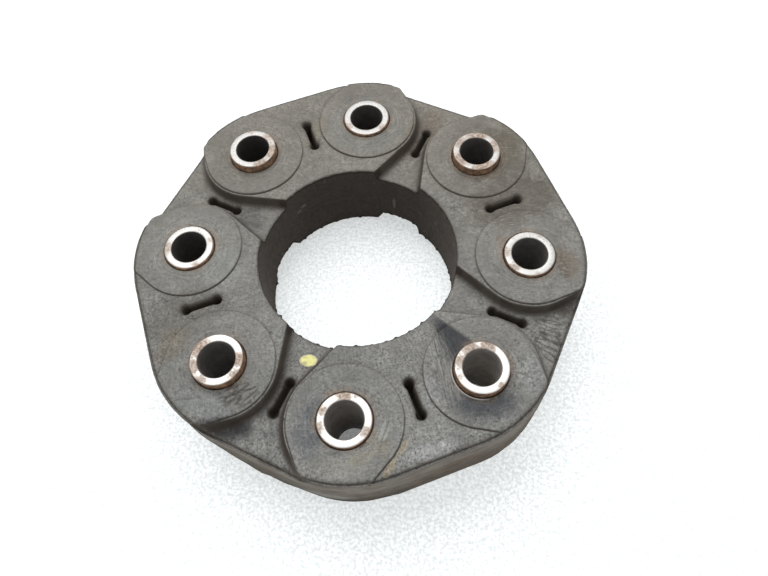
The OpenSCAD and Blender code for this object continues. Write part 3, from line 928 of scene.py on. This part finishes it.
# painted shade and dirt in the hollows, thickest beside one pad, and edges rubbed pale
shade_and_dirt_beside_pad = shade_and_dirt.step(0.05, 0.55) * patch(-17.5, -56.0, 27.0, 8.0, 74, 0.3, 0.5)
skin = (shade_and_dirt_beside_pad * 0.7).mix(skin, (0.06, 0.044, 0.034))
skin = (shade_and_dirt * 0.9).mix(skin, (0.034, 0.025, 0.019))
skin = (worn_edge * fine.step(0.4, 0.65) * 0.5).mix(skin, (0.32, 0.295, 0.255))
# bright rubbed lip beside one bush
lip = from_axis.step(9.25, 9.45) * from_axis.step(9.6, 9.8, 1.0, 0.0)
lip = lip * patch(36.5, -49.5, 10.0, 7.0, -45, 0.4)
skin = (lip * 0.8).mix(skin, (0.6, 0.56, 0.52))
# dab of yellow paint on one sunken link
dab = spot.node("ShaderNodeMapping", {"vector_type": "TEXTURE"}, 0, Vector=spot,
                Location=(*DAB_AT, FLOOR), Scale=(*DAB_HALF, 2.0))
dab = dab.node("ShaderNodeVectorMath", {"operation": "LENGTH"}, 1, i0=dab) + (fine - 0.5) * 0.25
paint = coarse.step(0.3, 0.55).mix((0.66, 0.6, 0.27), (0.95, 0.92, 0.39))
paint = dab.step(0.72, 0.95).mix(paint, (0.66, 0.61, 0.4))
smudge = patch(-15.5, -40.3, 1.5, 0.9, 20, 0.4, 0.6, FLOOR, 4.0)
paint = (smudge * 0.6).mix(paint, (0.42, 0.39, 0.25))
skin = dab.step(0.96, 1.06, 1.0, 0.0).mix(skin, paint)
polish = wedge.math("MAXIMUM", painted_bush_shadow)
grip = fine.step(0.3, 0.7, 0.55, 0.8) - polish * 0.2 + (1.0 - level_face) * 0.15
relief = (fine * 0.6 + coarse * 0.5 + rays * 0.2) * level_face.step(0.0, 1.0, 0.4, 1.0)
feed(shader, Base_Color=skin, Roughness=grip, Specular_IOR_Level=0.25,
     Normal=fine.node("ShaderNodeBump", None, 0, Strength=0.55, Distance=0.00035, Height=relief))
casing_mesh.materials.append(rubber)
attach(casing, "root")
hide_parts("rubber_casing")


# Table and backdrop
# A plain pale sheet under the disc, with a fine speckle.
SHEET_HALF = 3.0
SHEET_GAP = 0.00005
floor_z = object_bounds()[0].z - SHEET_GAP
floor_mesh = bpy.data.meshes.new("floor")
sheet = [(SHEET_HALF * x, SHEET_HALF * y, floor_z) for x, y in ((-1, -1), (1, -1), (1, 1), (-1, 1))]
floor_mesh.from_pydata(sheet, [], [(0, 1, 2, 3)])
floor = bpy.data.objects.new("floor", floor_mesh)
bpy.context.scene.collection.objects.link(floor)


def seen_straight(tree):
    """One for what the camera sees, straight on, mirrored or through glass."""
    ray = Shade(tree, None).node("ShaderNodeLightPath", None, 0)
    outputs = ray.socket.node.outputs
    seen = ray.math("MAXIMUM", Shade(tree, outputs["Is Glossy Ray"]))
    return seen.math("MAXIMUM", Shade(tree, outputs["Is Transmission Ray"]))


pale_sheet, shader, spot = new_finish("pale_sheet")
speckle = spot.grain(1.1, 2.0, 0.6).step(0.3, 0.7)
tone = speckle.mix((0.49, 0.525, 0.535), (0.82, 0.845, 0.85))
seen = seen_straight(spot.tree)
reach = from_middle(spot)
# painted shade: the glow dimmed under the disc, seen through the bores; painted light: a little more glow
# inside the hole
under_disc = reach.step(42.0, 46.0) * reach.step(70.0, 74.0, 1.0, 0.0)
in_hole = reach.step(30.0, 36.0, 1.0, 0.0)
far_off = reach.step(350.0, 2200.0)
glow = seen * (0.49 + speckle * 0.12 + in_hole * 0.06 + far_off * 0.3) * (1.0 - under_disc * 0.66)
feed(shader, Base_Color=tone, Roughness=0.7, Specular_IOR_Level=0.2,
     Emission_Color=scaled((0.97, 1.0, 1.0), glow), Emission_Strength=1.0)
floor_mesh.materials.append(pale_sheet)


# Light
# Soft daylight from all round and one wide panel over the far side of the table.
world = bpy.data.worlds.new("room") if bpy.context.scene.world is None else bpy.context.scene.world
bpy.context.scene.world = world
world.use_nodes = True
backdrop = seen_straight(world.node_tree).mix((0.5, 0.5, 0.5), (1.0, 1.0, 1.0))
feed(world.node_tree.nodes["Background"], Color=backdrop, Strength=1.0)
panel = bpy.data.lights.new("panel", "AREA")
panel.shape = "RECTANGLE"
panel.size = 0.9
panel.size_y = 0.7
panel.energy = 6.2
stand = bpy.data.objects.new("panel", panel)
panel_at = Vector((-0.15, 0.42, 0.85))
facing = panel_at.to_track_quat("Z", "Y").to_matrix().to_4x4()
stand.matrix_world = Matrix.Translation(panel_at) @ facing
bpy.context.scene.collection.objects.link(stand)


# Camera
# Held above the near edge of the disc, as in the photograph.
lens = bpy.data.cameras.new("camera")
lens.sensor_width = 36.0
lens.lens = 28.895
lens.shift_x = -0.00065
lens.shift_y = 0.00065
lens.clip_start = 0.01
camera = bpy.data.objects.new("camera", lens)
right = Vector((0.998265, 0.044231, -0.038865))
up = Vector((-0.022585, 0.897221, 0.441004))
back = Vector((0.054377, -0.439361, 0.896663))
camera_at = Matrix.Translation((0.02176, -0.10651, 0.2048))
camera.matrix_world = camera_at @ Matrix((right, up, back)).transposed().to_4x4()
bpy.context.scene.collection.objects.link(camera)
bpy.context.scene.camera = camera
bpy.context.scene.view_settings.view_transform = "Standard"
